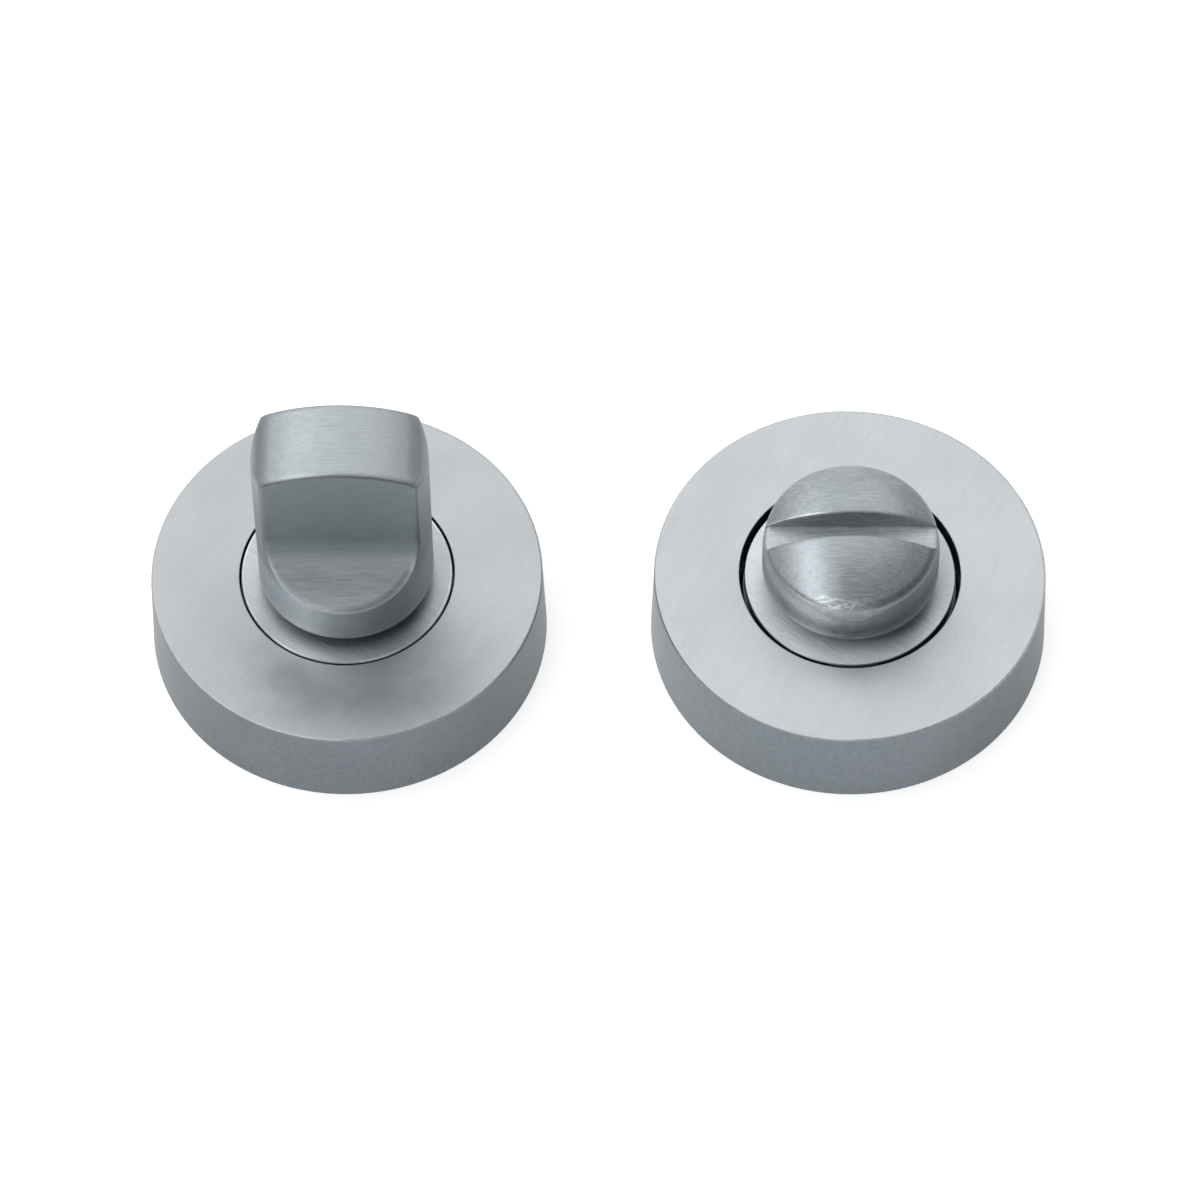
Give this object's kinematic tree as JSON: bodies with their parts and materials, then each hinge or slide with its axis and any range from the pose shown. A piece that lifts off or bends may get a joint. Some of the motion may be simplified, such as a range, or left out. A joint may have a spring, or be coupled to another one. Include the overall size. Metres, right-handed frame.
{
  "type": "bathroom thumb turn lock",
  "caption": "Bathroom thumb turn and coin release on round satin roses, laid side by side, each turning on its own axis.",
  "frame": {"origin": "on the back plane of the roses, midway between the two turning axes", "axes": "+X from the thumb turn to the coin release, +Z out of the door's face along the turning axes"},
  "size_m": [0.115, 0.0508, 0.0435],
  "materials": {
    "satin_rose": "satin, fine straight brushing",
    "satin_collar": "satin, fine straight brushing",
    "satin_turn": "satin, brushed along the blade",
    "satin_release": "satin, turned and brushed",
    "plate": null,
    "spring_steel": "dark oiled spring steel",
    "screw_steel": "zinc-plated steel",
    "stem_steel": "turned steel",
    "nylon": "black nylon"
  },
  "bodies": {
    "roses": {"turn_base_plate": "plate", "turn_rose_cover": "satin_rose", "turn_snap_ring": "spring_steel", "turn_collar": "satin_collar", "turn_collar_screws": "screw_steel", "turn_neck_bush": "nylon", "turn_thrust_washer": "nylon", "release_base_plate": "plate", "release_rose_cover": "satin_rose", "release_snap_ring": "spring_steel", "release_collar": "satin_collar", "release_collar_screws": "screw_steel", "release_neck_bush": "nylon", "release_thrust_washer": "nylon"},
    "turn": {"turn_spring_washer": "spring_steel", "turn_retaining_ring": "spring_steel", "thumb_turn_knob": "satin_turn", "thumb_turn_stem": "stem_steel", "grub_screw": "screw_steel"},
    "release": {"release_spring_washer": "spring_steel", "release_retaining_ring": "spring_steel", "coin_release_knob": "satin_release"}
  },
  "joints": [
    {"name": "turn_spin", "type": "hinge", "parent": "roses", "child": "turn", "pos_m": [-0.03213, 0, 0.0125], "axis": [0, 0, 1], "range_deg": [0, 90]},
    {"name": "release_spin", "type": "hinge", "parent": "roses", "child": "release", "pos_m": [0.03213, 0, 0.0125], "axis": [0, 0, 1], "range_deg": [-90, 0]}
  ]
}
